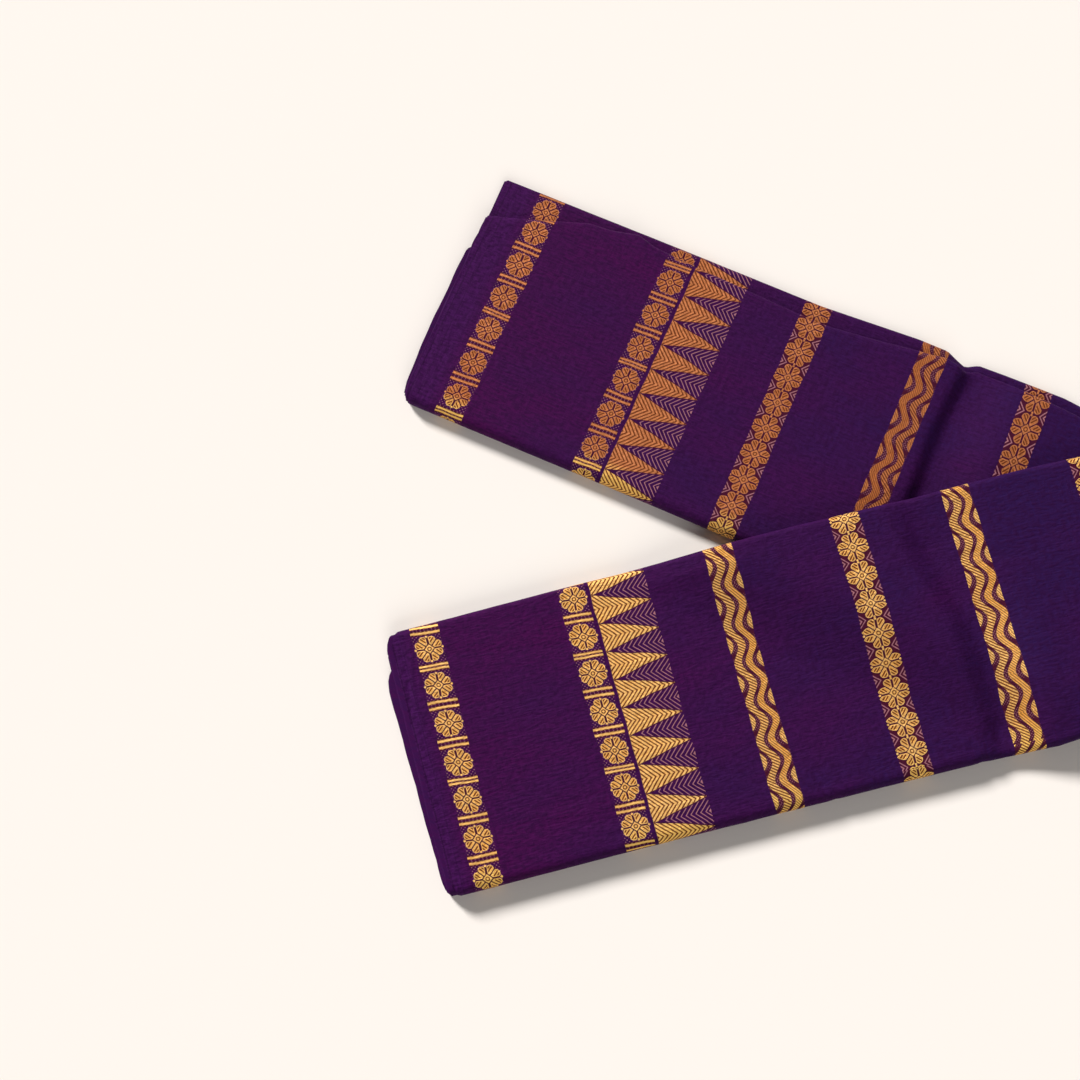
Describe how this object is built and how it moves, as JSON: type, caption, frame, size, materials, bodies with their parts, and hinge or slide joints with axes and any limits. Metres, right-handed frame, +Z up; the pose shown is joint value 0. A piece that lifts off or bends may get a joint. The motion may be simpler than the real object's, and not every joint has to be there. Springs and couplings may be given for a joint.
{
  "type": "folded cotton saree",
  "caption": "Cotton saree folded lengthwise into a long flat strip that doubles back over itself in a V, with layered ends and woven cross bands.",
  "frame": {"origin": "on the surface that the saree lies on, under the middle of its outline", "axes": "+Z up from the surface, +X from the strip's free ends toward the fold at the V's point, +Y toward the under arm's far edge"},
  "size_m": [0.5695, 0.5398, 0.0286],
  "materials": {
    "saree_cloth": "soft shot-purple cotton with woven metallic-gold bands",
    "saree_layers": "soft shot-purple cotton, folded edges"
  },
  "bodies": {
    "root": {"over_arm_cloth": "saree_cloth", "over_arm_upper_layers": "saree_layers", "over_arm_lower_layers": "saree_layers", "under_arm_cloth": "saree_cloth", "under_arm_upper_layers": "saree_layers", "under_arm_lower_layers": "saree_layers", "fold_cloth": "saree_cloth", "fold_outer_layers": "saree_layers", "fold_inner_layers": "saree_layers"}
  },
  "joints": []
}
